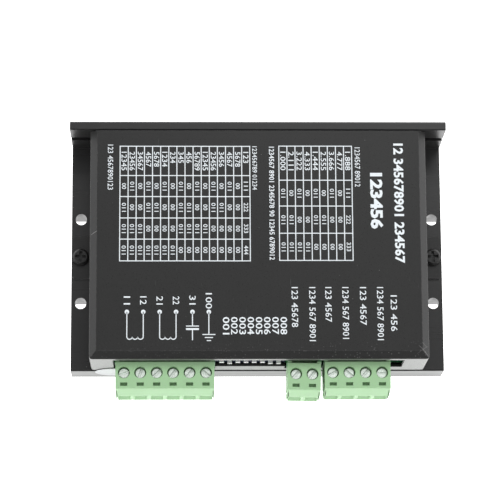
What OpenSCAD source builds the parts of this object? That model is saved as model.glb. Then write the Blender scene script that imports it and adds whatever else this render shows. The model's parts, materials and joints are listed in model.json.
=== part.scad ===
// Stepper driver module: an L-shaped heatsink carries a circuit board under a
// bent sheet cover, with pluggable screw terminals and a switch bank in front.
// X runs along the module, -Y is the terminal side, Z is up, and the origin is
// the middle of the footprint on the underside. Millimetres.

/* [Heatsink] */
// Length of the extrusion
sink_l = 118; // [112:1:130]
// Depth of the extrusion, front lip to back wall
sink_d = 75.5; // [75:0.5:80]
// Height of the back wall, which is the module's height
sink_h = 33; // [33:0.5:40]
// Height of the base's top face
base_h = 10.8; // [10:0.1:11.2]
// Thickness of the plate above the fins
plate_t = 4; // [3:0.5:5]
// Thickness of the back wall
wall_t = 2.8; // [2.2:0.1:3.2]
// Distance between the two rows of mounting holes, side to side
mount_dx = 112; // [108:0.5:112]
// Distance between the front and back mounting holes
mount_dy = 27.3; // [26:0.1:30]
// Radius of a mounting hole
mount_r = 1.8; // [1.6:0.1:2.2]

/* [Cover] */
// Width of the cover across its side walls
cover_w = 105; // [104:0.5:106]
// Thickness of the sheet
sheet_t = 0.8; // [0.8:0.1:1]
// Leg of the 45 degree bevel round the top
bevel = 2.2; // [1.8:0.1:2.6]
// Length of a foot tab along the side
tab_l = 13.7; // [10:0.1:16]
// Gap under the cover's lower edge
cover_gap = 1.2; // [0.5:0.1:1.6]

/* [Terminals] */
// Pitch of the terminals
pitch = 5.08; // [5:0.01:5.1]
// Height of a plug
plug_h = 15; // [14.5:0.1:15.5]
// Length of a plug in front of its header
plug_l = 8.1; // [8:0.1:9]
// Travel of a wire clamp's cage
cage_travel = 2; // [1:0.1:2]

/* [Switches] */
// Number of switches in the bank
dip_n = 8; // [8:1:8]
// Travel of a switch slider
dip_travel = 2; // [1.5:0.1:2]

/* [Board] */
// Length of the hexagonal spacers under the board
spacer_h = 3; // [2.8:0.1:3.2]
// Thickness of the board
board_t = 1.6; // [1.2:0.1:1.6]

/* [Hidden] */
$fn = 48;
WAYS = 12;

// Heatsink: the gaps between fins are spaced so that both rows of holes meet a gap
front_y = -sink_d / 2;
back_y = sink_d / 2;
wall_y = back_y - wall_t;
gaps_between_holes = 4;
gap_pitch = mount_dy / gaps_between_holes;
gap_w = 3.66;
hole_y = 11.3;
gap_steps = [-6:3];
edge_c = 0.5;
rail_z = 20.2;
rail_h = 3.4;
rail_depth = 1;

// Fasteners
m3_r = 1.45;
m3_hole_r = 1.5;
m3_clear_r = 1.7;
pan_r = 2.6;
pan_h = 1.9;
cross_w = 0.95;
// Share of a pan head's height below its rounded-off top, and the top's share of its radius
pan_side = 0.7;
pan_top = 0.78;
cross_l = 3.4;

// Cover
cover_y0 = front_y + 0.15;
cover_y1 = wall_y - 0.15;
cover_z0 = base_h + cover_gap;
cover_top = sink_h - 0.05;
corner_r = 0.9;
inner_bevel = bevel - sheet_t * (2 - sqrt(2));
tab_y = -1.35;
tab_x1 = sink_l / 2 - 0.15;
tab_c = 0.8;
tab_screw_x = 56;
window_z1 = 28.6;
terminal_z0 = 14.8;
left_window = [-45.2, -13.5];
right_window = [8.3, 41.2];
dip_window = [-13.5, 8.3];
dip_window_z0 = 18.4;
led_window = [41, 45];
led_window_z0 = 17.1;
label_at = [-45.1, 9];
label_r = 6.2;
label_t = 0.05;

// Board
board_z = base_h + spacer_h;
board_top = board_z + board_t;
board_x = 50.5;
board_y0 = front_y + 1.95;
board_y1 = wall_y - 0.9;
spacer_x = 46.5;
spacer_y = [-22, 24];
spacer_af = 5.5;

// Terminal blocks: [ways, centre in X, how far it stands out, turn about Z]
block_6 = [6, -29.15, 0, 0];
block_2 = [2, 14.15, 0.45, -1.2];
block_4 = [4, 30.5, 0, 0];
BLOCKS = [block_6, block_2, block_4];
header_y0 = -37.8;
header_y1 = -26.2;
header_front = -36.2;
header_wall = 1.1;
header_floor = 0.9;
header_roof = 0.8;
header_h = 8.6;
plug_y = header_y0 - 0.05;
plug_z = 12;
plug_top = plug_z + plug_h;
rear_chamfer = 0.15;
// Lip along the plug's rear top edge, over its header, and the shoulders at the lip's ends
lip_z = 26;
lip_y1 = -37.65;
shoulder = [1.2, -37.1];
front_lean = 1.3;
lean_z = 20.4;
dovetail = 0.9;
// Joint line of each end cap: how far in it is, and its width at the left and the right end
end_line = [0.25, 0.25, 0.25];
end_line_d = 0.9;
tongue_y1 = -29.2;
tongue_gap = 0.15;
// The tongue is lower where it leaves the body
neck_y1 = -36;
neck_z = 21.2;
// Width of a wire entry at the front and inside, and how far in its sill slopes and its sides close
entry = [3.9, 3.1];
sill_d = 1;
pin_z = board_top + 3.9;
pin_w = 1;
pin_tip_y = -36;
pin_back_y = -24.9;
pin_tail = 1.6;
screw_y = -41.05;
well_r = 1.85;
head_r = 1.7;
head_h = 1.35;
head_drop = 1.75;
head_bevel = 0.25;
head_z0 = plug_top - head_drop - head_h;
slot_w = 0.8;
slot_d = 0.9;
cage = [3.8, 4, 7.2];
cage_z = 13.4;
cage_side = 0.5;
cage_floor = 1.2;
cage_roof = 1.6;
strip_t = 0.6;
strip_w = 2;
strip_z = pin_z - pin_w / 2 - 0.1 - strip_t;
cavity = [4.2, 4.6];
cavity_play = 0.3;
// Angle of each terminal screw's slot, left to right
slot_turns = [20, 70, 40, 52, 50, -38, 50, 55, 25, -40, 50, 3];

// Switch bank
dip_x = -2.65;
dip_pitch = 2.54;
dip_size = [21.9, 6.2, 9.8];
dip_y0 = -36.3;
dip_z0 = board_top + 0.1;
knob = [1.4, 0.85, 1.2];
shoe = [1.9, 1.2, 2.4];
dip_mid = dip_z0 + dip_size[2] / 2 + 0.9;
// Switches that are set low
dip_low = [2, 7, 8];

// Power stage along the back wall
fet_size = [10.2, 4.5, 15];
// A transistor's thinner top: its thickness and height
fet_tab = [3.1, 1.9];
fet_z = board_top + 0.9;
fet_step = 10.6;
fet_first = 7.6;
fet_y1 = wall_y - 0.3;
clamp_t = 1.5;
clamp_z = 25.2;
clamp_x = 47.3;
strip_x = 49.8;
lead = [0.8, 0.5];
lead_pitch = 2.54;
lead_y = fet_y1 - 2.4;

// Other components on the board
can_r = 6.3;
can_l = 25;
can_x = -42;
can_y = [-15.5, -1.5];
can_lead = 0.8;
can_lead_y = 2.5;
inductor = [12, 7];
inductor_at = [-4, -12];
chip_at = [16, 8];
opto_x = [14, 26, 38];
opto_y = -15;
sense = [6.4, 3.2, 0.8];
sense_x = [-30, -18, 18, 30];
sense_y = 22;
led_at = [43, -31];
led_r = 1.5;
led_l = 1.8;
led_lead = 0.5;
// Height of the power and the alarm indicator, and how far back their leads run before they turn down
led_z = [25.2, 20.4];
led_run = [6.4, 4];

// Where a block's way number i (from 0) sits along X, before the block is turned
function way_x(b, i) = (i - (b[0] - 1) / 2) * pitch;
// Which block holds terminal number n (from 1), and its place in that block
function block_of(n) = n <= 6 ? block_6 : n <= 8 ? block_2 : block_4;
function way_of(n) = n <= 6 ? n - 1 : n <= 8 ? n - 7 : n - 9;
function is_low(i) = len([for (k = dip_low) if (k == i) k]) > 0;

module box_at(x, y, z) {
    translate([x[0], y[0], z[0]]) cube([x[1] - x[0], y[1] - y[0], z[1] - z[0]]);
}

// A YZ outline drawn along X, centred on x = 0
module along_x(l) {
    rotate([90, 0, 90]) linear_extrude(height = l, center = true) children();
}

module cross_recess(d) {
    for (a = [0, 90]) rotate([0, 0, a])
        translate([-cross_l / 2, -cross_w / 2, -d]) cube([cross_l, cross_w, d + 1]);
}

// Pan-head screw with its seat at z = 0, head up and shank down
module pan_screw(l) {
    difference() {
        union() {
            cylinder(r = pan_r, h = pan_h * pan_side);
            translate([0, 0, pan_h * pan_side - 0.01])
                cylinder(r1 = pan_r, r2 = pan_r * pan_top, h = pan_h * (1 - pan_side));
            translate([0, 0, -l]) cylinder(r = m3_r, h = l + 0.01);
        }
        translate([0, 0, pan_h]) cross_recess(1.2);
    }
}

// ---------------------------------------------------------------- heatsink
module sink_outline() {
    difference() {
        union() {
            translate([front_y, 0]) square([sink_d, base_h]);
            translate([wall_y, 0]) square([wall_t, sink_h]);
        }
        for (k = gap_steps)
            translate([hole_y + k * gap_pitch - gap_w / 2, -1])
                square([gap_w, base_h - plate_t + 1]);
        translate([wall_y - 1, rail_z]) square([1 + rail_depth, rail_h]);
        translate([front_y, base_h]) rotate(45) square(edge_c * sqrt(2), center = true);
        translate([wall_y, sink_h]) rotate(45) square(0.3 * sqrt(2), center = true);
        translate([back_y, sink_h]) rotate(45) square(edge_c * sqrt(2), center = true);
    }
}

module heatsink() {
    color([0.17, 0.17, 0.18]) difference() {
        along_x(sink_l) sink_outline();
        for (x = [-1, 1], y = [hole_y, hole_y - mount_dy])
            translate([x * mount_dx / 2, y, -1]) cylinder(r = mount_r, h = base_h + 2);
        for (x = [-1, 1])
            translate([x * tab_screw_x, tab_y, base_h - plate_t - 1])
                cylinder(r = m3_hole_r, h = plate_t + 2);
        for (x = [-1, 1], y = spacer_y)
            translate([x * spacer_x, y, base_h - plate_t + 0.4])
                cylinder(r = m3_hole_r, h = plate_t);
        for (x = [-clamp_x, 0, clamp_x])
            translate([x, wall_y - 1, clamp_z]) rotate([-90, 0, 0])
                cylinder(r = m3_hole_r, h = wall_t + 2);
    }
}

// ---------------------------------------------------------------- cover
// Three outlines that cross make the bevelled, mitred body; inset shrinks it
module cover_body(inset, c) {
    w = cover_w / 2 - inset;
    top = cover_top - inset;
    y0 = cover_y0 + inset;
    r = max(corner_r - inset, 0.1);
    y1 = cover_y1 + (inset > 0 ? 1 : 0);
    z0 = inset > 0 ? cover_z0 - 5 : cover_z0;
    intersection() {
        translate([0, y1, 0]) rotate([90, 0, 0]) linear_extrude(height = y1 - y0)
            polygon([[-w, z0], [-w, top - c], [-w + c, top], [w - c, top], [w, top - c], [w, z0]]);
        along_x(2 * w)
            polygon([[y0, z0], [y0, top - c], [y0 + c, top], [y1, top], [y1, z0]]);
        translate([0, 0, z0]) linear_extrude(height = top - z0) {
            translate([-w, y0 + r]) square([2 * w, y1 - y0 - r]);
            translate([-w + r, y0]) square([2 * (w - r), r + 0.1]);
            for (x = [-1, 1]) translate([x * (w - r), y0 + r]) circle(r = r);
        }
    }
}

// One foot: the side wall runs down and turns out over the heatsink's edge
module foot_tab() {
    x0 = cover_w / 2 - sheet_t;
    box_at([x0, cover_w / 2], [tab_y - tab_l / 2, tab_y + tab_l / 2], [base_h, cover_z0 + 1]);
    translate([0, tab_y, base_h]) linear_extrude(height = sheet_t)
        polygon([[x0, -tab_l / 2], [tab_x1 - tab_c, -tab_l / 2], [tab_x1, -tab_l / 2 + tab_c],
                 [tab_x1, tab_l / 2 - tab_c], [tab_x1 - tab_c, tab_l / 2], [x0, tab_l / 2]]);
}

module front_window(x, z0) {
    box_at(x, [cover_y0 - 1, cover_y0 + sheet_t + 0.6], [z0, window_z1]);
}

module top_cover() {
    color([0.2, 0.2, 0.21]) difference() {
        union() {
            difference() {
                cover_body(0, bevel);
                cover_body(sheet_t, inner_bevel);
            }
            foot_tab();
            mirror([1, 0, 0]) foot_tab();
        }
        front_window(left_window, terminal_z0);
        front_window(right_window, terminal_z0);
        front_window(dip_window, dip_window_z0);
        front_window(led_window, led_window_z0);
        for (x = [-1, 1]) translate([x * tab_screw_x, tab_y, base_h - 1])
            cylinder(r = m3_clear_r, h = sheet_t + 2);
    }
}

module cover_screws() {
    color([0.12, 0.12, 0.12]) for (x = [-1, 1])
        translate([x * tab_screw_x, tab_y, base_h + sheet_t]) rotate([0, 0, 4 * x])
            pan_screw(plate_t + sheet_t - 0.2);
}

module seal_label() {
    color("white") translate([label_at[0], front_y - 0.01, label_at[1]]) rotate([90, 0, 0])
        cylinder(r = label_r, h = label_t, $fn = 96);
}

// ---------------------------------------------------------------- board
module board_spacers() {
    color([0.78, 0.62, 0.3]) for (x = [-1, 1], y = spacer_y)
        translate([x * spacer_x, y, base_h]) difference() {
            union() {
                cylinder(d = spacer_af / cos(30), h = spacer_h, $fn = 6);
                translate([0, 0, -plate_t + 0.6]) cylinder(r = m3_r, h = plate_t);
            }
            translate([0, 0, 0.2]) cylinder(r = m3_hole_r, h = spacer_h);
        }
}

module inner_screws() {
    color("silver") {
        for (x = [-1, 1], y = spacer_y)
            translate([x * spacer_x, y, board_top]) pan_screw(board_t + spacer_h - 0.4);
        for (x = [-clamp_x, 0, clamp_x])
            translate([x, fet_y1 - fet_size[1] - clamp_t, clamp_z]) rotate([90, 0, 0])
                pan_screw(clamp_t + fet_size[1] + 0.3 + wall_t - 0.3);
    }
}

function fet_xs() = [for (s = [-1, 1], i = [0:3]) s * (fet_first + i * fet_step)];

module main_board() {
    color([0.1, 0.35, 0.2]) difference() {
        box_at([-board_x, board_x], [board_y0, board_y1], [board_z, board_top]);
        for (x = [-1, 1], y = spacer_y)
            translate([x * spacer_x, y, board_z - 1]) cylinder(r = m3_clear_r, h = board_t + 2);
        for (x = fet_xs(), k = [-1:1])
            translate([x + k * lead_pitch, lead_y, board_z - 1])
                cylinder(r = 0.65, h = board_t + 2, $fn = 8);
        for (b = BLOCKS, i = [0:b[0] - 1])
            translate([b[1] + way_x(b, i), pin_back_y + pin_w / 2, board_z - 1])
                cylinder(r = 0.85, h = board_t + 2, $fn = 8);
    }
}

module power_transistors() {
    color([0.14, 0.14, 0.15]) for (x = fet_xs()) {
        difference() {
            box_at([x - fet_size[0] / 2, x + fet_size[0] / 2], [fet_y1 - fet_size[1], fet_y1],
                   [fet_z, fet_z + fet_size[2]]);
            translate([x - fet_size[0], fet_y1 - fet_size[1] - 1, fet_z + fet_size[2] - fet_tab[1]])
                cube([2 * fet_size[0], fet_size[1] - fet_tab[0] + 1, fet_size[2]]);
            translate([x, fet_y1 - fet_size[1] - 1, fet_z + fet_size[2] + 0.2]) rotate([-90, 0, 0])
                cylinder(r = 1.6, h = fet_size[1] + 2);
        }
        for (k = [-1:1])
            box_at([x + k * lead_pitch - lead[0] / 2, x + k * lead_pitch + lead[0] / 2],
                   [lead_y - lead[1] / 2, lead_y + lead[1] / 2], [board_z - 1, fet_z + 0.2]);
    }
}

module insulating_strip() {
    gap = 0.02;
    color([0.75, 0.78, 0.8]) difference() {
        box_at([-strip_x, strip_x], [fet_y1 + gap, wall_y - gap],
               [board_top + 0.5, fet_z + fet_size[2] + 0.1]);
        for (x = [-clamp_x, 0, clamp_x]) translate([x, fet_y1 - 1, clamp_z]) rotate([-90, 0, 0])
            cylinder(r = m3_clear_r, h = 3);
    }
}

module transistor_clamp() {
    y1 = fet_y1 - fet_size[1];
    color([0.7, 0.7, 0.72]) difference() {
        box_at([-strip_x, strip_x], [y1 - clamp_t, y1], [clamp_z - 3.5, clamp_z + 3.5]);
        for (x = [-clamp_x, 0, clamp_x])
            translate([x, y1 - clamp_t - 1, clamp_z]) rotate([-90, 0, 0])
                cylinder(r = m3_clear_r, h = clamp_t + 2);
    }
}

module bulk_capacitors() {
    axis_z = board_top + can_r + 0.2;
    color([0.15, 0.17, 0.3]) for (y = can_y) translate([can_x, y, 0]) {
        translate([0, 0, axis_z]) rotate([0, 90, 0]) difference() {
            cylinder(r = can_r, h = can_l);
            // Crimped neck near the can's mouth
            translate([0, 0, 2.6]) rotate_extrude() translate([can_r + 0.3, 0]) circle(r = 0.8, $fn = 16);
        }
        for (s = [-1, 1]) {
            translate([can_l - 0.1, s * can_lead_y, axis_z]) rotate([0, 90, 0])
                cylinder(r = can_lead / 2, h = 2.1);
            translate([can_l + 1.8, s * can_lead_y, board_top])
                cylinder(r = can_lead / 2, h = axis_z - board_top);
        }
    }
}

module power_inductor() {
    w = inductor[0];
    color([0.25, 0.25, 0.26]) translate([inductor_at[0], inductor_at[1], board_top]) {
        difference() {
            translate([-w / 2, -w / 2, 0.4]) cube([w, w, inductor[1]]);
            translate([0, 0, inductor[1] - 0.1]) cylinder(r = 0.35 * w, h = 1);
        }
        for (s = [-1, 1]) translate([s * (w / 2 - 0.4) - 1, -2.5, 0]) cube([2, 5, 0.5]);
    }
}

// Gull-wing chip: body size, then leads along each side in the list
module chip(w, d, h, n, step) {
    translate([-w / 2, -d / 2, 0.15]) cube([w, d, h]);
    for (i = [0:n - 1], s = [-1, 1])
        translate([(i - (n - 1) / 2) * step - 0.2, s * (d / 2 + 0.5) - 0.6, 0]) cube([0.4, 1.2, 0.3]);
}

module controller_chip() {
    color([0.1, 0.1, 0.1]) translate([chip_at[0], chip_at[1], board_top]) {
        chip(10, 10, 1.4, 10, 0.8);
        rotate([0, 0, 90]) chip(10, 10, 1.4, 10, 0.8);
    }
}

module optocouplers() {
    color([0.13, 0.13, 0.13]) for (x = opto_x)
        translate([x, opto_y, board_top]) chip(9.6, 6.4, 3.4, 4, lead_pitch);
}

module sense_resistors() {
    color([0.2, 0.2, 0.2]) for (x = sense_x)
        translate([x - sense[0] / 2, sense_y, board_top]) cube(sense);
}

// Round LED that looks forward, on two leads bent down into the board
module front_led(z, lead_run) {
    translate([led_at[0], led_at[1], z]) rotate([90, 0, 0]) {
        cylinder(r = led_r, h = led_l);
        translate([0, 0, led_l]) intersection() {
            sphere(r = led_r, $fn = 32);
            cylinder(r = 2 * led_r, h = 2 * led_r);
        }
        translate([0, 0, -1]) cylinder(r = led_r + 0.25, h = 1.2);
    }
    for (s = [-1, 1]) {
        x = led_at[0] + s * 0.9;
        xs = [x - led_lead / 2, x + led_lead / 2];
        y1 = led_at[1] + lead_run;
        box_at(xs, [led_at[1] + 0.9, y1], [z - led_lead / 2, z + led_lead / 2]);
        box_at(xs, [y1 - led_lead, y1], [board_top, z + led_lead / 2]);
    }
}

module power_led() {
    color([0.3, 0.8, 0.35]) front_led(led_z[0], led_run[0]);
}

module alarm_led() {
    color([0.85, 0.2, 0.15]) front_led(led_z[1], led_run[1]);
}

// ---------------------------------------------------------------- switches
function dip_slider_x(i) = dip_x + (i - (dip_n + 1) / 2) * dip_pitch;

module dip_body() {
    w = shoe[0] + 0.4;
    kw = knob[0] + 0.5;
    run = dip_travel + 0.4;
    color([0.08, 0.08, 0.1]) difference() {
        translate([dip_x - dip_size[0] / 2, dip_y0, dip_z0]) cube(dip_size);
        for (i = [1:dip_n]) {
            x = dip_slider_x(i);
            box_at([x - w / 2, x + w / 2], [dip_y0 + 0.5, dip_y0 + 2.2],
                   [dip_mid - (shoe[2] + run) / 2, dip_mid + (shoe[2] + run) / 2]);
            box_at([x - kw / 2, x + kw / 2], [dip_y0 - 1, dip_y0 + 1],
                   [dip_mid - (knob[2] + run) / 2, dip_mid + (knob[2] + run) / 2]);
        }
    }
}

module dip_slider(i) {
    z = dip_mid + (is_low(i) ? -1 : 1) * dip_travel / 2;
    color("white") translate([dip_slider_x(i), dip_y0, z]) {
        translate([-knob[0] / 2, -knob[1], -knob[2] / 2]) cube([knob[0], knob[1] + 1, knob[2]]);
        translate([-shoe[0] / 2, 0.7, -shoe[2] / 2]) cube(shoe);
    }
}

// ---------------------------------------------------------------- terminal blocks
module header(b) {
    w = b[0] * pitch + 0.5;
    end_wall_h = header_h + 1.8;
    color([0.2, 0.5, 0.25]) translate([b[1], 0, 0]) difference() {
        union() {
            box_at([-w / 2, w / 2], [header_front, header_y1], [board_top, board_top + header_h]);
            for (x = [-w / 2, w / 2 - header_wall]) translate([x, header_y0, board_top])
                cube([header_wall, header_y1 - header_y0, end_wall_h]);
            box_at([-w / 2, w / 2], [header_y0, header_y1], [board_top, board_top + header_floor]);
        }
        box_at([-w / 2 + header_wall, w / 2 - header_wall], [header_y0 - 1, tongue_y1 + 0.6],
               [board_top + header_floor, board_top + header_h - header_roof]);
        for (i = [0:b[0] - 1]) {
            x = way_x(b, i);
            box_at([x - pin_w / 2, x + pin_w / 2], [header_y0, header_y1 + 1],
                   [pin_z - pin_w / 2, pin_z + pin_w / 2]);
        }
        // Slots in the roof between the ways
        for (i = [1:b[0] - 1])
            translate([way_x(b, i) - pitch / 2 - 0.6, header_y0, board_top + header_h - header_roof - 0.2])
                cube([1.2, 4, 2]);
    }
}

module header_pins() {
    color("silver") for (b = BLOCKS, i = [0:b[0] - 1]) {
        x = b[1] + way_x(b, i);
        box_at([x - pin_w / 2, x + pin_w / 2], [pin_tip_y, pin_back_y + pin_w],
               [pin_z - pin_w / 2, pin_z + pin_w / 2]);
        box_at([x - pin_w / 2, x + pin_w / 2], [pin_back_y, pin_back_y + pin_w],
               [board_z - pin_tail, pin_z]);
    }
}

// A block's plug parts stand out and turn together, about its tongue's middle
module plug_place(b) {
    turn_y = (plug_y + tongue_y1) / 2;
    translate([b[1], turn_y - b[2], 0]) rotate([0, 0, b[3]]) translate([0, -turn_y, 0]) children();
}

module plug_outline() {
    y0 = plug_y - plug_l;
    polygon([[plug_y, plug_z], [plug_y, lip_z], [lip_y1, lip_z], [lip_y1, plug_top - rear_chamfer],
             [lip_y1 - rear_chamfer, plug_top], [y0, plug_top], [y0 - 0.2, plug_top - 0.4],
             [y0 - front_lean, lean_z], [y0 - front_lean, plug_z + 0.3],
             [y0 - front_lean + 0.3, plug_z]]);
}

module plug(b) {
    w = b[0] * pitch + 0.1;
    y0 = plug_y - plug_l - front_lean;
    tongue_w = b[0] * pitch + 0.5 - 2 * header_wall - 0.4;
    tongue_z0 = board_top + header_floor + tongue_gap;
    tongue_z1 = board_top + header_h - header_roof - tongue_gap;
    color([0.55, 0.8, 0.5]) plug_place(b) difference() {
        union() {
            along_x(w) plug_outline();
            box_at([-tongue_w / 2, tongue_w / 2], [plug_y - 1, tongue_y1], [tongue_z0, tongue_z1]);
            for (x = [-w / 2, w / 2 - shoulder[0]])
                box_at([x, x + shoulder[0]], [lip_y1 - 1, shoulder[1]], [lip_z, plug_top - 0.4]);
        }
        box_at([-w, w], [plug_y, neck_y1], [neck_z, tongue_z1 + 1]);
        for (i = [0:b[0] - 1]) translate([way_x(b, i), 0, 0]) plug_way(y0);
        // Dovetail grooves at both ends
        for (s = [-1, 1])
            translate([s * w / 2 - 0.5, y0 + 1.7, plug_z - 1]) cube([1, dovetail, plug_h - 1]);
        // Joint lines of the end caps, down the front
        translate([-w / 2 + end_line[0], y0 - 1, plug_z - 1])
            cube([end_line[1], 1 + end_line_d, plug_h]);
        translate([w / 2 - end_line[0] - end_line[2], y0 - 1, plug_z - 1])
            cube([end_line[2], 1 + end_line_d, plug_h]);
    }
}

// What is cut out of a plug for one terminal
module plug_way(y0) {
    floor_z = cage_z + cage_floor;
    sill_z = plug_z + 0.5;
    entry_top = lean_z - 0.7;
    entry_y1 = screw_y - 2;
    cavity_top = cage_z + cage[2] + cage_travel + cavity_play;
    translate([0, screw_y, head_z0]) cylinder(r = well_r, h = plug_h);
    translate([0, screw_y, cavity_top - 1]) cylinder(r = m3_r + 0.1, h = head_z0 - cavity_top + 2);
    box_at([-cavity[0] / 2, cavity[0] / 2], [screw_y - cavity[1] / 2, screw_y + cavity[1] / 2],
           [cage_z - cavity_play, cavity_top]);
    // Wire entry: a steep sill, and sides that close in
    intersection() {
        along_x(entry[0])
            polygon([[y0 - 1, sill_z], [y0, sill_z], [y0 + sill_d, floor_z], [entry_y1, floor_z],
                     [entry_y1, strip_z], [y0 + 0.8, entry_top], [y0 - 1, entry_top]]);
        linear_extrude(height = plug_top)
            polygon([[-entry[0] / 2, y0 - 1], [entry[0] / 2, y0 - 1], [entry[0] / 2, y0],
                     [entry[1] / 2, y0 + sill_d], [entry[1] / 2, entry_y1],
                     [-entry[1] / 2, entry_y1], [-entry[1] / 2, y0 + sill_d], [-entry[0] / 2, y0]]);
    }
    // Test-probe slot on the top face
    box_at([-1.1, 1.1], [y0 + 2, y0 + 3.05], [plug_top - 1.6, plug_top + 1]);
    // Passage for the contact and for the header's pin
    box_at([-strip_w / 2 - 0.1, strip_w / 2 + 0.1], [screw_y, tongue_y1 + 1],
           [strip_z - 0.1, strip_z + 2 * strip_t + pin_w + 0.3]);
}

// Sprung fork round the header's pin, with a bar that runs through the clamp's cage
module contacts(b) {
    fork_z = pin_z + pin_w / 2 + 0.1;
    web_y = screw_y + cavity[1] / 2 + 0.1;
    color([0.75, 0.72, 0.6]) plug_place(b) for (i = [0:b[0] - 1]) translate([way_x(b, i), 0, 0]) {
        box_at([-strip_w / 2, strip_w / 2], [screw_y - 2.2, pin_tip_y + 3], [strip_z, strip_z + strip_t]);
        box_at([-strip_w / 2, strip_w / 2], [web_y, web_y + 0.5], [strip_z, fork_z + strip_t]);
        box_at([-strip_w / 2, strip_w / 2], [web_y, pin_tip_y + 3], [fork_z, fork_z + strip_t]);
    }
}

module terminal_screw(n) {
    b = block_of(n);
    tip = strip_z + strip_t + 0.1;
    color("silver") plug_place(b) translate([way_x(b, way_of(n)), screw_y, 0]) difference() {
        union() {
            translate([0, 0, head_z0]) cylinder(r = head_r, h = head_h - head_bevel);
            translate([0, 0, head_z0 + head_h - head_bevel])
                cylinder(r1 = head_r, r2 = head_r - head_bevel, h = head_bevel);
            translate([0, 0, tip]) cylinder(r = m3_r, h = head_z0 - tip + 0.1);
        }
        translate([0, 0, head_z0 + head_h]) rotate([0, 0, slot_turns[n - 1]])
            cube([3 * head_r, slot_w, 2 * slot_d], center = true);
    }
}

module clamp_cage(n) {
    b = block_of(n);
    color([0.8, 0.75, 0.55]) plug_place(b)
        translate([way_x(b, way_of(n)), screw_y, cage_z]) difference() {
            translate([-cage[0] / 2, -cage[1] / 2, 0]) cube(cage);
            translate([-cage[0] / 2 + cage_side, -cage[1], cage_floor])
                cube([cage[0] - 2 * cage_side, 2 * cage[1], cage[2] - cage_floor - cage_roof]);
            cylinder(r = m3_hole_r, h = 3 * cage[2]);
        }
}

heatsink();
top_cover();
cover_screws();
board_spacers();
inner_screws();
main_board();
power_transistors();
insulating_strip();
transistor_clamp();
bulk_capacitors();
power_inductor();
controller_chip();
optocouplers();
sense_resistors();
power_led();
alarm_led();
dip_body();
header(block_6);  // header_6
header(block_2);  // header_2
header(block_4);  // header_4
header_pins();
plug(block_6);  // plug_6
plug(block_2);  // plug_2
plug(block_4);  // plug_4
contacts(block_6);  // contacts_6
contacts(block_2);  // contacts_2
contacts(block_4);  // contacts_4
seal_label();
for (i = [1:dip_n])
    dip_slider(i);
for (n = [1:WAYS])
    terminal_screw(n);
for (n = [1:WAYS])
    clamp_cage(n);
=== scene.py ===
import json
import math

import bmesh
import bpy
from mathutils import Euler, Matrix, Vector


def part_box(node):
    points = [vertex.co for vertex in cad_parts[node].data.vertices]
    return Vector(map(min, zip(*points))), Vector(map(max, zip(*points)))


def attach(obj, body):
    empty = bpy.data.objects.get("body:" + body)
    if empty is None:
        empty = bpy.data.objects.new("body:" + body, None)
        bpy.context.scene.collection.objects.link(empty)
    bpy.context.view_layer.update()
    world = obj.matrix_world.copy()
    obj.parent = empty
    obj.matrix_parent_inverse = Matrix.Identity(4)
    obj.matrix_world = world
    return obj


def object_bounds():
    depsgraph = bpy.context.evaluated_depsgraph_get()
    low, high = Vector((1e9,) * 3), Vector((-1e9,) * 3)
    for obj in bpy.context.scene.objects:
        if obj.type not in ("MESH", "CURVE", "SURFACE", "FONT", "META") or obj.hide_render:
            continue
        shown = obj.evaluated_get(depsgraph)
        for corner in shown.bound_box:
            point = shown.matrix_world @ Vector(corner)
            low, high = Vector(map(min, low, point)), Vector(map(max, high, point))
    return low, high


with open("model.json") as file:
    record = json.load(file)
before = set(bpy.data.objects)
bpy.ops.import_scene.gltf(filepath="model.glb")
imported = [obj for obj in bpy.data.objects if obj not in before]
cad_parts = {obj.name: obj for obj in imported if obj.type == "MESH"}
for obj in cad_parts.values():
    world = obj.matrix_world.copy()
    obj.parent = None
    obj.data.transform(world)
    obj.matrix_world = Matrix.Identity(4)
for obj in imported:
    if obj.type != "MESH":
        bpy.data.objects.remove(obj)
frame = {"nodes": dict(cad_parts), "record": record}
CAD_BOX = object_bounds()

# Everything below is in metres, in the frame of the CAD model. MM turns millimetres into metres.
MM = 0.001
NODES = frame["nodes"]
SLOT_OF = {part["node"]: part["material_slot"] for part in frame["record"]["subparts"]}
COVER_LOW, COVER_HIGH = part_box("top_cover")
TOP = COVER_HIGH.z


# ---------------------------------------------------------------- shaders
# Refractive index of every material here
IOR = 1.5


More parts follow.
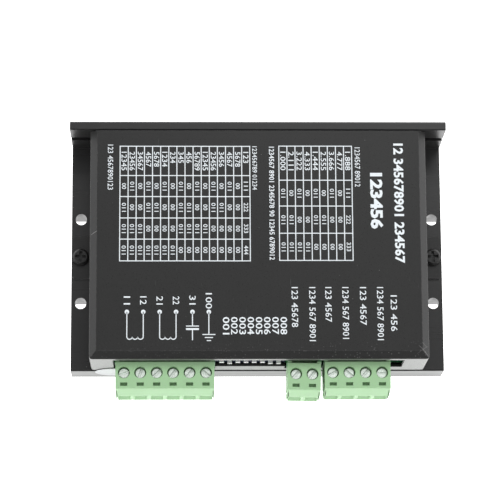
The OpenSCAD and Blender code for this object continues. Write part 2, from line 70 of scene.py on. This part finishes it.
class Shader:
    """A Principled material, and short calls that add its nodes. Sizes of patterns are in millimetres."""

    def __init__(self, name, roughness=0.4, metallic=0.0, specular=0.5):
        self.material = bpy.data.materials.new(name)
        self.material.use_nodes = True
        self.tree = self.material.node_tree
        self.bsdf = self.tree.nodes["Principled BSDF"]
        self.bsdf.inputs["Roughness"].default_value = roughness
        self.bsdf.inputs["Metallic"].default_value = metallic
        self.bsdf.inputs["Specular IOR Level"].default_value = specular
        self.bsdf.inputs["IOR"].default_value = IOR
        self.place = self.node("ShaderNodeTexCoord").outputs["Object"]
        self.bumped = None

    def node(self, kind, **settings):
        made = self.tree.nodes.new(kind)
        for name, value in settings.items():
            setattr(made, name, value)
        return made

    def feed(self, socket, value):
        """Links an output to the socket, or sets the socket to a plain value."""
        if isinstance(value, bpy.types.NodeSocket):
            self.tree.links.new(value, socket)
        else:
            socket.default_value = value

    def math(self, operation, a, b=0.0):
        made = self.node("ShaderNodeMath", operation=operation)
        self.feed(made.inputs[0], a)
        self.feed(made.inputs[1], b)
        return made.outputs[0]

    def times(self, a, b):
        return self.math("MULTIPLY", a, b)

    def stretched(self, x=1.0, y=1.0, z=1.0, turn=(0.0, 0.0, 0.0)):
        """The object's own coordinates, turned and then squeezed along each axis."""
        made = self.node("ShaderNodeMapping", vector_type="POINT")
        self.feed(made.inputs["Vector"], self.place)
        self.feed(made.inputs["Rotation"], turn)
        self.feed(made.inputs["Scale"], (x, y, z))
        return made.outputs[0]

    def noise(self, size, detail=3.0, rough=0.55, place=None):
        made = self.node("ShaderNodeTexNoise")
        self.feed(made.inputs["Vector"], place or self.place)
        self.feed(made.inputs["Scale"], 1 / (size * MM))
        self.feed(made.inputs["Detail"], detail)
        self.feed(made.inputs["Roughness"], rough)
        return made.outputs["Fac"]

    def specks(self, size, radius, share):
        """Small round specks, in a share of the cells of a grid of that size."""
        cells = self.node("ShaderNodeTexVoronoi")
        self.feed(cells.inputs["Vector"], self.place)
        self.feed(cells.inputs["Scale"], 1 / (size * MM))
        near = self.ramp(cells.outputs["Distance"], radius, radius * 0.6)
        picked = self.node("ShaderNodeSeparateColor")
        self.feed(picked.inputs[0], cells.outputs["Color"])
        chosen = self.math("LESS_THAN", picked.outputs[0], share)
        return self.times(near, chosen)

    def ramp(self, value, low, high, to_low=0.0, to_high=1.0):
        """value runs from low to high, and the result from to_low to to_high, held at both ends."""
        made = self.node("ShaderNodeMapRange", clamp=True)
        for socket, number in zip(made.inputs, (value, low, high, to_low, to_high)):
            self.feed(socket, number)
        return made.outputs[0]

    def edges(self, width):
        """1 at the sharp edges and 0 away from them."""
        rounded = self.node("ShaderNodeBevel", samples=4)
        self.feed(rounded.inputs["Radius"], width * MM)
        flat = self.node("ShaderNodeNewGeometry").outputs["True Normal"]
        dot = self.node("ShaderNodeVectorMath", operation="DOT_PRODUCT")
        self.feed(dot.inputs[0], rounded.outputs[0])
        self.feed(dot.inputs[1], flat)
        return self.ramp(dot.outputs["Value"], 0.995, 0.9)

    def worn_edges(self, width, patches, low, high, least, most):
        """How bare the sharp edges are: least to most, as the noise in patches goes from low to high."""
        return self.times(self.edges(width), self.ramp(patches, low, high, least, most))

    def recess_shade(self, reach, most):
        """Painted shade: 0 in the open, and up to most in slots and corners narrower than that reach in
        millimetres.
        """
        made = self.node("ShaderNodeAmbientOcclusion", samples=6)
        self.feed(made.inputs["Distance"], reach * MM)
        return self.ramp(made.outputs["AO"], 0.8, 0.35, 0.0, most)

    def mix(self, share, a, b):
        made = self.node("ShaderNodeMix", data_type="RGBA")
        self.feed(made.inputs["Factor"], share)
        self.feed(made.inputs["A"], a if isinstance(a, bpy.types.NodeSocket) else (*a, 1))
        self.feed(made.inputs["B"], b if isinstance(b, bpy.types.NodeSocket) else (*b, 1))
        return made.outputs["Result"]

    def colour(self, value):
        self.feed(self.bsdf.inputs["Base Color"], value)

    def roughness(self, value):
        self.feed(self.bsdf.inputs["Roughness"], value)

    def bump(self, height, depth, strength=1.0):
        """Adds a relief of that depth in millimetres. Later reliefs lie on earlier ones."""
        made = self.node("ShaderNodeBump")
        self.feed(made.inputs["Strength"], strength)
        self.feed(made.inputs["Distance"], depth * MM)
        self.feed(made.inputs["Height"], height)
        if self.bumped:
            self.feed(made.inputs["Normal"], self.bumped)
        self.bumped = made.outputs[0]
        self.feed(self.bsdf.inputs["Normal"], self.bumped)

    def coordinate(self, axis):
        parts = self.node("ShaderNodeSeparateXYZ")
        self.feed(parts.inputs[0], self.place)
        return parts.outputs[axis]

    def scratch(self, start, end, width):
        """1 along a straight scratch from start to end, in millimetres in X and Y, and 0 away from it."""
        (x0, y0), (x1, y1) = start, end
        length = math.hypot(x1 - x0, y1 - y0)
        along_x, along_y = (x1 - x0) / length, (y1 - y0) / length
        dx = self.math("SUBTRACT", self.coordinate(0), x0 * MM)
        dy = self.math("SUBTRACT", self.coordinate(1), y0 * MM)
        along = self.math("ADD", self.times(dx, along_x), self.times(dy, along_y))
        across = self.math("SUBTRACT", self.times(dy, along_x), self.times(dx, along_y))
        off_end = self.math("ABSOLUTE", self.math("SUBTRACT", along, length * MM / 2))
        near = self.ramp(self.math("ABSOLUTE", across), width * MM, width * MM / 2)
        inside = self.ramp(off_end, length * MM / 2, length * MM * 0.35)
        return self.times(near, inside)

    def soften(self, width):
        """Shades the sharp edges as if they were rounded to that radius. It comes before any bump."""
        made = self.node("ShaderNodeBevel", samples=6)
        self.feed(made.inputs["Radius"], width * MM)
        self.bumped = made.outputs[0]
        self.feed(self.bsdf.inputs["Normal"], self.bumped)


def grey(value, tint=(1.0, 1.0, 1.0)):
    return tuple(value * t for t in tint)


def scratched(shader, size, turn, rarity):
    """Fine scratches in one direction: a noise squeezed to thin streaks, kept only in patches."""
    streaks = shader.noise(size, 2.0, 0.5, shader.stretched(1.0, 0.02, 1.0, (0, 0, turn)))
    patches = shader.ramp(shader.noise(size * 22, 2.0), 0.5, 0.62)
    return shader.times(shader.ramp(streaks, rarity, rarity + 0.03), patches)


def black_anodised():
    shader = Shader("black_anodised", roughness=0.3, specular=0.43)
    shader.soften(0.12)
    clouds = shader.noise(14, 4.0)
    drawn = shader.noise(0.5, 3.0, 0.6, shader.stretched(0.012, 1.0, 1.0))
    base = shader.mix(clouds, grey(0.007), grey(0.013, (1.0, 1.0, 1.06)))
    lightened_edges = shader.worn_edges(0.12, shader.noise(1.6, 3.0), 0.5, 0.7, 0.0, 0.16)
    base = shader.mix(lightened_edges, base, grey(0.42))
    dust = shader.specks(3.2, 0.05, 0.16)
    shader.colour(shader.mix(shader.times(dust, 0.25), base, grey(0.5)))
    shader.roughness(shader.ramp(drawn, 0.3, 0.7, 0.27, 0.35))
    shader.bump(drawn, 0.003, 0.4)
    return shader.material


# The cover's longer scratches: both ends in X and Y in millimetres, and how bright they are
SCRATCHES = [((-52.3, 1.5), (-50.1, 2.5), 0.5), ((48.4, -36.4), (52.2, -33.6), 0.12),
             ((49.0, -33.6), (52.3, -36.9), 0.26), ((50.0, -32.6), (51.9, -34.3), 0.16)]


def black_painted_sheet():
    shader = Shader("black_painted_sheet", roughness=0.33, specular=0.3)
    shader.bsdf.inputs["Sheen Weight"].default_value = 0.42
    shader.bsdf.inputs["Sheen Roughness"].default_value = 0.3
    shader.soften(0.35)
    clouds = shader.noise(22, 4.0)
    grain = shader.noise(0.28, 2.0, 0.6)
    base = shader.mix(clouds, grey(0.011), grey(0.017))
    base = shader.mix(shader.ramp(grain, 0.3, 0.75, 0.0, 0.18), base, grey(0.04))
    # Lighter sharp edges in patches: partly wear, partly a painted highlight along the bevels' edges.
    lightened_edges = shader.worn_edges(0.22, shader.noise(1.1, 4.0), 0.46, 0.7, 0.02, 0.3)
    base = shader.mix(lightened_edges, base, grey(0.34))
    lines = shader.math("MAXIMUM", scratched(shader, 0.22, 0.7, 0.74), scratched(shader, 0.2, -0.5, 0.76))
    base = shader.mix(shader.times(lines, 0.2), base, grey(0.4))
    for start, end, light in SCRATCHES:
        base = shader.mix(shader.times(shader.scratch(start, end, 0.08), light), base, grey(0.5))
    dust = shader.math("MAXIMUM", shader.specks(1.9, 0.05, 0.1), shader.specks(4.1, 0.035, 0.3))
    # More of it gathers on the front bevel, and most at its right end
    at_front = shader.ramp(shader.coordinate(1), -32 * MM, -36 * MM)
    at_right = shader.ramp(shader.coordinate(0), -20 * MM, 45 * MM, 0.25, 0.8)
    at_top = shader.ramp(shader.coordinate(2), TOP - 2.4 * MM, TOP - 2 * MM)
    lint = shader.specks(0.75, 0.3, 0.4)
    for share in (at_front, at_right, at_top):
        lint = shader.times(lint, share)
    dust = shader.math("MAXIMUM", dust, lint)
    shader.colour(shader.mix(shader.times(dust, 0.22), base, grey(0.55)))
    shader.roughness(shader.ramp(grain, 0.3, 0.7, 0.27, 0.4))
    shader.bump(grain, 0.012, 0.45)
    return shader.material


def black_screws():
    shader = Shader("black_screws", roughness=0.36, specular=0.36)
    shader.soften(0.1)
    base = shader.mix(shader.noise(1.2, 4.0), grey(0.008), grey(0.018))
    lightened_edges = shader.worn_edges(0.12, shader.noise(0.5, 3.0), 0.5, 0.65, 0.0, 0.4)
    base = shader.mix(lightened_edges, base, grey(0.3))
    # Painted shade: the cross recess and other hollows darkened to nearly black.
    shader.colour(shader.mix(shader.recess_shade(0.9, 1.0), base, grey(0.001)))
    shader.roughness(shader.ramp(shader.noise(0.4), 0.3, 0.7, 0.28, 0.46))
    shader.bump(shader.noise(0.25), 0.01, 0.4)
    return shader.material


def bright_metal(name, light, dark, roughness):
    """Plated or bare metal: cloudy colour, fine brushing across X, dirt in patches and painted shade in
    slots and recesses.
    """
    shader = Shader(name, roughness=roughness, metallic=1.0)
    shader.soften(0.07)
    brushed = shader.noise(0.14, 3.0, 0.6, shader.stretched(0.12, 1.0, 1.0, (0, 0, 0.6)))
    clouds = shader.noise(1.5, 3.0)
    base = shader.mix(clouds, light, dark)
    dirt_and_recess_shade = shader.ramp(shader.noise(0.7, 4.0), 0.6, 0.75, 0.0, 0.3)
    # Painted shade in slots and other recesses, joined to the dirt.
    dirt_and_recess_shade = shader.math("MAXIMUM", dirt_and_recess_shade, shader.recess_shade(0.45, 0.9))
    shader.colour(shader.mix(dirt_and_recess_shade, base, tuple(0.25 * c for c in dark)))
    shader.roughness(shader.ramp(brushed, 0.3, 0.7, roughness - 0.08, roughness + 0.1))
    shader.bump(brushed, 0.004, 0.6)
    return shader.material


def moulded(name, light, dark, roughness=0.42, grain=0.16, wear=0.1, subsurface=0.0, specular=0.5):
    """Moulded plastic or epoxy: flow marks, a fine eroded grain, rubbed edges and painted shade in
    recesses.
    """
    shader = Shader(name, roughness=roughness, specular=specular)
    shader.soften(0.1)
    flow = shader.noise(3.4, 4.0, 0.6, shader.stretched(1.0, 0.4, 0.4))
    fine = shader.noise(grain, 2.0)
    base = shader.mix(flow, light, dark)
    lightened_edges = shader.worn_edges(0.12, shader.noise(0.8), 0.45, 0.65, 0.0, wear)
    base = shader.mix(lightened_edges, base, tuple(min(1.0, c + 0.25) for c in light))
    # Painted shade: hollows and corners darkened towards a third of the dark colour.
    base = shader.mix(shader.recess_shade(1.0, 0.5), base, tuple(0.3 * c for c in dark))
    shader.colour(shader.mix(shader.times(shader.specks(1.7, 0.05, 0.1), 0.3), base, dark))
    shader.roughness(shader.ramp(fine, 0.3, 0.7, roughness - 0.07, roughness + 0.07))
    shader.bump(fine, 0.008, 0.5)
    if subsurface:
        shader.bsdf.inputs["Subsurface Weight"].default_value = subsurface
        shader.bsdf.inputs["Subsurface Radius"].default_value = (0.6, 1.0, 0.5)
        shader.bsdf.inputs["Subsurface Scale"].default_value = 0.6 * MM
    return shader.material


def circuit_board():
    """Green solder mask, with tracks as darker and lighter stripes and a grid of small plated vias."""
    shader = Shader("green_circuit_board", roughness=0.3)
    tracks = shader.noise(1.1, 1.0, 0.4, shader.stretched(0.15, 1.0, 1.0))
    crossing = shader.noise(1.3, 1.0, 0.4, shader.stretched(1.0, 0.15, 1.0))
    picked = shader.math("MAXIMUM", shader.ramp(tracks, 0.55, 0.57), shader.ramp(crossing, 0.6, 0.62))
    base = shader.mix(picked, (0.016, 0.12, 0.05), (0.03, 0.2, 0.085))
    vias = shader.specks(2.6, 0.16, 0.35)
    base = shader.mix(vias, base, (0.55, 0.5, 0.36))
    shader.colour(base)
    shader.roughness(shader.ramp(shader.noise(0.6), 0.3, 0.7, 0.22, 0.4))
    shader.bump(picked, 0.03, 0.6)
    return shader.material


def tinted_lens(name, colour):
    shader = Shader(name, roughness=0.08)
    shader.bsdf.inputs["Transmission Weight"].default_value = 0.35
    shader.colour(shader.mix(shader.noise(1.0), colour, tuple(0.6 * c for c in colour)))
    shader.roughness(shader.ramp(shader.noise(0.4), 0.3, 0.7, 0.05, 0.14))
    shader.bump(shader.noise(0.5), 0.004, 0.3)
    return shader.material


def label_paper():
    shader = Shader("white_label", roughness=0.5)
    fibres = shader.noise(0.35, 5.0, 0.7)
    base = shader.mix(fibres, grey(0.5, (0.96, 0.98, 1.02)), grey(0.45, (0.98, 0.99, 1.02)))
    rubbed = shader.ramp(shader.noise(2.2, 3.0), 0.6, 0.7, 0.0, 0.22)
    shader.colour(shader.mix(rubbed, base, grey(0.5)))
    shader.roughness(shader.ramp(fibres, 0.3, 0.7, 0.42, 0.6))
    shader.bump(fibres, 0.01, 0.5)
    return shader.material


def white_ink():
    """Screen-printed ink: nearly white, a little thin in places."""
    shader = Shader("white_ink", roughness=0.5)
    thin = shader.ramp(shader.noise(0.35, 4.0, 0.6), 0.42, 0.68, 0.0, 0.35)
    shader.colour(shader.mix(thin, grey(0.92, (0.90, 0.96, 1.0)), grey(0.62, (0.94, 0.98, 1.0))))
    shader.roughness(shader.ramp(shader.noise(0.3), 0.3, 0.7, 0.42, 0.6))
    shader.bump(shader.noise(0.2), 0.005, 0.5)
    return shader.material


MATERIALS = {
    "black_anodised": black_anodised(),
    "black_painted_sheet": black_painted_sheet(),
    "black_screws": black_screws(),
    "zinc_screws": bright_metal("zinc_screws", (0.70, 0.72, 0.76), (0.52, 0.54, 0.57), 0.34),
    "terminal_steel": bright_metal("terminal_steel", (0.87, 0.95, 0.88), (0.68, 0.75, 0.69), 0.3),
    "brass_hardware": bright_metal("brass_hardware", (0.78, 0.60, 0.28), (0.6, 0.43, 0.18), 0.3),
    "tinned_metal": bright_metal("tinned_metal", (0.74, 0.73, 0.69), (0.6, 0.58, 0.53), 0.26),
    "green_circuit_board": circuit_board(),
    "black_component": moulded("black_component", grey(0.022), grey(0.034), 0.5, 0.2, 0.06),
    "black_plastic": moulded("black_plastic", (0.008, 0.014, 0.032), (0.012, 0.02, 0.045), 0.34),
    "silicone_strip": moulded("silicone_strip", grey(0.42), grey(0.5), 0.7, 0.3, 0.0),
    "capacitor_sleeve": moulded("capacitor_sleeve", (0.02, 0.028, 0.09), (0.028, 0.035, 0.12),
                                0.2, 0.5, 0.05),
    "ferrite": moulded("ferrite", grey(0.05), grey(0.085), 0.75, 0.25, 0.15),
    "green_lens": tinted_lens("green_lens", (0.1, 0.62, 0.18)),
    "red_lens": tinted_lens("red_lens", (0.75, 0.06, 0.04)),
    "green_plastic": moulded("green_plastic", (0.368, 0.585, 0.340), (0.338, 0.54, 0.31), 0.5,
                             subsurface=0.12, specular=0.14),
    "dark_green_plastic": moulded("dark_green_plastic", (0.10, 0.36, 0.13), (0.085, 0.31, 0.11), 0.4),
    "white_plastic": moulded("white_plastic", grey(0.82), grey(0.76), 0.35, subsurface=0.1),
    "white_label": label_paper(),
}
INK = white_ink()

for node, thing in NODES.items():
    thing.data.materials.clear()
    thing.data.materials.append(MATERIALS[SLOT_OF[node]])


# ---------------------------------------------------------------- printed legends
# The ink's thickness, the height of its underside, just inside the cover, and the width of its lines
INK_T = 0.03 * MM
INK_Z = TOP - 0.01 * MM
LINE = 0.29 * MM
DIGITS = "1234567890"
# Share of a font's size that its numerals stand high
CAP_SHARE = 0.73
# Heights of the printed numerals, and how much the lightest ones are thickened
SMALL = 1.7 * MM
LABEL = 2.0 * MM
MARK = 1.35 * MM
THIN = 0.012 * MM
# In a table: where its numbers start below its edge, and the steps of its numbers and of its marks
TABLE_INDENT = 1.8 * MM
TABLE_PITCH = 1.2 * MM
MARK_PITCH = 0.95 * MM
# The longer lines of each table, from its back edge to its front edge
LEFT_ROWS = [y * MM for y in (29.6, 20.15, 13.4, 6.55, -0.2, -7.1)]
RIGHT_ROWS = [y * MM for y in (29.7, 18.7, 10.4, 1.7, -6.95)]


def piece(name, mesh, body, material):
    """A finished piece of the object, made from a bmesh."""
    bmesh.ops.recalc_face_normals(mesh, faces=mesh.faces)
    data = bpy.data.meshes.new(name)
    mesh.to_mesh(data)
    mesh.free()
    data.materials.append(material)
    made = bpy.data.objects.new(name, data)
    bpy.context.scene.collection.objects.link(made)
    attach(made, body)
    return made


def slab(mesh, outline):
    """A thin slab of ink on the cover with that outline in X and Y, in metres."""
    low = [mesh.verts.new((x, y, INK_Z)) for x, y in outline]
    high = [mesh.verts.new((x, y, INK_Z + INK_T)) for x, y in outline]
    mesh.faces.new(low)
    mesh.faces.new(high)
    for i in range(len(outline)):
        j = (i + 1) % len(outline)
        mesh.faces.new((low[i], low[j], high[j], high[i]))


def bar(mesh, x0, x1, y0, y1):
    slab(mesh, [(x0, y0), (x1, y0), (x1, y1), (x0, y1)])


def ribbon(mesh, points, width):
    """A line of that width through the points, with square corners to each stretch."""
    sides = []
    for i, point in enumerate(points):
        before = points[max(i - 1, 0)]
        after = points[min(i + 1, len(points) - 1)]
        along = (Vector(after) - Vector(before)).normalized()
        across = Vector((-along.y, along.x)) * width / 2
        sides.append((Vector(point) + across, Vector(point) - across))
    left = [tuple(a) for a, _ in sides]
    right = [tuple(b) for _, b in sides]
    for i in range(len(points) - 1):
        slab(mesh, [left[i], left[i + 1], right[i + 1], right[i]])


def disc(mesh, x, y, radius, sides=20):
    slab(mesh, [(x + radius * math.cos(a), y + radius * math.sin(a))
                for a in (2 * math.pi * i / sides for i in range(sides))])


def numerals(mesh, text, x, start, end, height, bold=0.0):
    """Numerals that read towards -Y from start to end, with their feet at -X, centred across on x."""
    curve = bpy.data.curves.new("numerals", "FONT")
    curve.body = text
    curve.size = height / CAP_SHARE
    curve.resolution_u = 2
    curve.extrude = INK_T / 2
    curve.offset = bold
    thing = bpy.data.objects.new("numerals", curve)
    data = thing.to_mesh()
    along, up = [v.co.x for v in data.vertices], [v.co.y for v in data.vertices]
    scale = ((start - end) / (max(along) - min(along)), height / (max(up) - min(up)), 1, 1)
    fit = Matrix.Diagonal(scale) @ Matrix.Translation((-min(along), -min(up), 0))
    turn = Matrix.Rotation(-math.pi / 2, 4, "Z")
    data.transform(Matrix.Translation((x - height / 2, start, INK_Z + INK_T / 2)) @ turn @ fit)
    mesh.from_mesh(data)
    thing.to_mesh_clear()
    bpy.data.objects.remove(thing)


def table_grid(mesh, xs, ys):
    """Lines at every x and y of a table. The lines across fill only the gaps between the lines along Y."""
    for x in xs:
        bar(mesh, x - LINE / 2, x + LINE / 2, ys[-1] - LINE / 2, ys[0] + LINE / 2)
    for y in ys:
        for x0, x1 in zip(xs, xs[1:]):
            bar(mesh, x0 + LINE / 2, x1 - LINE / 2, y - LINE / 2, y + LINE / 2)


def settings_table(name, x0, x1, columns, rows, digits):
    """A printed table: numbers in its first row, and in each other row a mark for a switch, in twos."""
    mesh = bmesh.new()
    step = (x1 - x0) / columns
    xs = [x0 + i * step for i in range(columns + 1)]
    table_grid(mesh, xs, rows)
    for i in range(columns):
        x = xs[i] + step / 2
        text = digits(i)
        start = rows[0] - TABLE_INDENT
        numerals(mesh, text, x, start, start - len(text) * TABLE_PITCH, SMALL, THIN)
        for row in range(len(rows) - 2):
            middle = (rows[row + 1] + rows[row + 2]) / 2
            counted = (columns - 2 - i) >> row & 1
            mark = str(row + 1) * 3 if i == columns - 1 else "011" if counted else "00"
            half = len(mark) * MARK_PITCH / 2
            numerals(mesh, mark, x, middle + half, middle - half, MARK, THIN)
    return piece(name, mesh, "root", INK)


def terminal_symbols():
    """Coil, coil, supply and earth over the six-way plug, each line starting at a dot."""
    mesh = bmesh.new()
    first, step = -40.85 * MM, 5.05 * MM
    xs = [first + i * step for i in range(6)]
    dot_y, coil_y, foot_y = -23.2 * MM, -31.0 * MM, -32.1 * MM
    sag = 0.8 * MM
    thin = LINE * 1.05
    marks = (("11", -18.3, -20.9), ("12", -18.3, -20.9), ("21", -18.3, -20.9),
             ("22", -18.3, -20.9), ("31", -18.1, -20.9), ("100", -17.3, -22.2))
    for x, (text, start, end) in zip(xs, marks):
        disc(mesh, x, dot_y, 0.7 * MM)
        numerals(mesh, text, x, start * MM, end * MM, LABEL, THIN)
    for left, right in ((xs[0], xs[1]), (xs[2], xs[3])):
        loop = (right - left) / 3
        points = [(left, dot_y)]
        for k in range(3):
            for a in (math.pi * j / 10 for j in range(11)):
                points.append((left + loop * (k + 0.5 - 0.5 * math.cos(a)), coil_y - sag * math.sin(a)))
        points.append((right, dot_y))
        ribbon(mesh, points, thin)
    supply_x, earth_x = xs[4], xs[5]
    plate = 4.0 * MM
    for width, y0, y1 in ((thin, -27.5 * MM, dot_y), (plate, -27.8 * MM, -27.5 * MM),
                          (plate, -28.9 * MM, -28.3 * MM), (thin, foot_y, -28.9 * MM)):
        bar(mesh, supply_x - width / 2, supply_x + width / 2, y0, y1)
    bar(mesh, earth_x - thin / 2, earth_x + thin / 2, -30.2 * MM, dot_y)
    for k, width in enumerate((4.0, 2.5, 1.3)):
        y = -30.3 * MM - k * 0.95 * MM
        bar(mesh, earth_x - width / 2 * MM, earth_x + width / 2 * MM, y - thin / 2, y + thin / 2)
    return piece("terminal_symbols_print", mesh, "root", INK)


def number_lines():
    """Rows of counting numerals, grouped as words, where the real cover has its wording."""
    mesh = bmesh.new()

    def line(groups, x, start, end, height=SMALL, bold=THIN):
        """One row, in millimetres, from start to end. Each word has as many digits as groups says."""
        digits = DIGITS * 5
        words = []
        for count in groups:
            words.append(digits[:count])
            digits = digits[count:]
        numerals(mesh, " ".join(words), x * MM, start * MM, end * MM, height, bold)

    line((3, 10), -46.2, 30.1, 15.6)
    line((9, 5), -1.2, 29.6, 15.6, 1.5 * MM)
    line((7, 4, 7, 2, 5, 7), 4.1, 29.5, -6.8, 1.65 * MM, 0.03 * MM)
    line((7, 5), 30.95, 29.3, 16.6)
    line((2, 9, 6), 43.8, 30.6, -7.8, 3.2 * MM, 0.14 * MM)
    line((6,), 36.8, 21.1, 3.1, 4.0 * MM, 0.22 * MM)
    # One row for each pin of the other two plugs: where it stands, where it ends and its words
    pins = ((10.96, 28.0, (3, 5)), (16.4, 32.4, (4, 3, 4)), (21.38, 26.4, (3, 4)),
            (26.67, 31.7, (4, 3, 4)), (32.12, 27.4, (3, 4)), (37.41, 32.1, (4, 3, 4)))
    for x, end, groups in pins:
        line(groups, x, -15.4, -end, LABEL)
    line((3, 3), 41.6, -18.0, -29.3, LABEL)
    return piece("number_lines_print", mesh, "root", INK)


# The numbers stand half a switch to the right of their sliders
HALF_SWITCH = 1.25 * MM


def switch_numbers():
    """001 to 008 in front of the switch bank."""
    mesh = bmesh.new()
    for i in range(8):
        x = sum(c.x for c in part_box("dip_slider_%d" % (i + 1))) / 2 + HALF_SWITCH
        numerals(mesh, "%03d" % (i + 1), x, -24.8 * MM, -30.3 * MM, 2.1 * MM, 0.03 * MM)
    return piece("switch_numbers_print", mesh, "root", INK)


settings_table("left_table_print", -43.2 * MM, -2.7 * MM, 16, LEFT_ROWS,
               lambda i: (DIGITS * 2)[i % 5: i % 5 + 5 - i // 3 % 3])
settings_table("right_table_print", 6.4 * MM, 29.2 * MM, 9, RIGHT_ROWS,
               lambda i: "%d.%03d" % (1 + i % 4, 111 * i))
terminal_symbols()
number_lines()
switch_numbers()


# ---------------------------------------------------------------- floor, light and camera
# Brightness of the floor and of the sky at the horizon, what is added to the sky towards each side and
# overhead, and the least that it may be
FLOOR_GLOW = 1.58
HORIZON = 0.09
SIDES = 0.025
RIGHT = 0.05
BACK = 0.06
OVERHEAD = 0.57
DARKEST = 0.02
# Place, size in metres and power in watts of each softbox. All of them point at AIM.
SOFTBOXES = {"left_softbox": ((-1.1, 0.1, 0.8), 0.9, 4.8), "right_softbox": ((1.1, 0.2, 0.8), 0.9, 6.5),
             "back_softbox": ((0.2, 0.68, 1.15), 0.6, 3.8), "front_softbox": ((0.0, -0.6, 1.1), 0.5, 2.2)}
AIM = (0.0, 0.0, 0.01)
WHITE = (1, 1, 1, 1)
# Half the floor's width, and its gap below the object
FLOOR_REACH = 4.0
FLOOR_GAP = 0.05 * MM
# The camera's focal length and sensor width in millimetres, its place, its turn in degrees and its range
LENS = 185.1
SENSOR = 36
CAMERA_PLACE = (-24.0 * MM, -179.1 * MM, 810.5 * MM)
CAMERA_TURN = (12.72, -1.49, -0.32)
NEAREST, FARTHEST = 0.05, 20


def glowing_paper():
    """White paper on a light table: it glows, so the shadows are faint and the front faces are bright."""
    shader = Shader("pale_floor", roughness=0.9, specular=0.1)
    shader.colour(shader.mix(shader.noise(60), grey(0.86), grey(0.84)))
    shader.bsdf.inputs["Emission Color"].default_value = WHITE
    shader.bsdf.inputs["Emission Strength"].default_value = FLOOR_GLOW
    return shader.material


def floor():
    mesh = bmesh.new()
    bmesh.ops.create_grid(mesh, x_segments=1, y_segments=1, size=FLOOR_REACH)
    data = bpy.data.meshes.new("floor")
    mesh.to_mesh(data)
    mesh.free()
    data.materials.append(glowing_paper())
    made = bpy.data.objects.new("floor", data)
    made.location.z = CAD_BOX[0].z - FLOOR_GAP
    bpy.context.scene.collection.objects.link(made)


def softbox(name, place, size, power):
    light = bpy.data.lights.new(name, "AREA")
    light.shape = "SQUARE"
    light.size = size
    light.energy = power
    made = bpy.data.objects.new(name, light)
    made.location = place
    made.rotation_euler = (Vector(AIM) - Vector(place)).to_track_quat("-Z", "Y").to_euler()
    bpy.context.scene.collection.objects.link(made)


def studio():
    """Soft walls of light, dimmest on the terminal side, and a softbox on each of the four sides."""
    world = bpy.data.worlds.new("studio")
    world.use_nodes = True
    tree = world.node_tree

    def calculate(operation, a, b):
        made = tree.nodes.new("ShaderNodeMath")
        made.operation = operation
        for socket, value in zip(made.inputs, (a, b)):
            if isinstance(value, bpy.types.NodeSocket):
                tree.links.new(value, socket)
            else:
                socket.default_value = value
        return made.outputs[0]

    parts = tree.nodes.new("ShaderNodeSeparateXYZ")
    tree.links.new(tree.nodes.new("ShaderNodeTexCoord").outputs["Generated"], parts.inputs[0])
    x, y, z = parts.outputs[0], parts.outputs[1], parts.outputs[2]
    light = HORIZON
    sideways = calculate("ABSOLUTE", x, 0.0)
    for direction, strength in ((sideways, SIDES), (x, RIGHT), (y, BACK), (z, OVERHEAD)):
        light = calculate("ADD", light, calculate("MULTIPLY", direction, strength))
    tree.links.new(calculate("MAXIMUM", light, DARKEST), tree.nodes["Background"].inputs["Strength"])
    tree.nodes["Background"].inputs["Color"].default_value = WHITE
    bpy.context.scene.world = world
    for name, settings in SOFTBOXES.items():
        softbox(name, *settings)


def camera():
    data = bpy.data.cameras.new("camera")
    data.sensor_width = SENSOR
    data.lens = LENS
    data.clip_start = NEAREST
    data.clip_end = FARTHEST
    made = bpy.data.objects.new("camera", data)
    made.location = CAMERA_PLACE
    made.rotation_euler = Euler([math.radians(a) for a in CAMERA_TURN])
    bpy.context.scene.collection.objects.link(made)
    bpy.context.scene.camera = made


floor()
studio()
camera()
bpy.context.scene.view_settings.view_transform = "Standard"
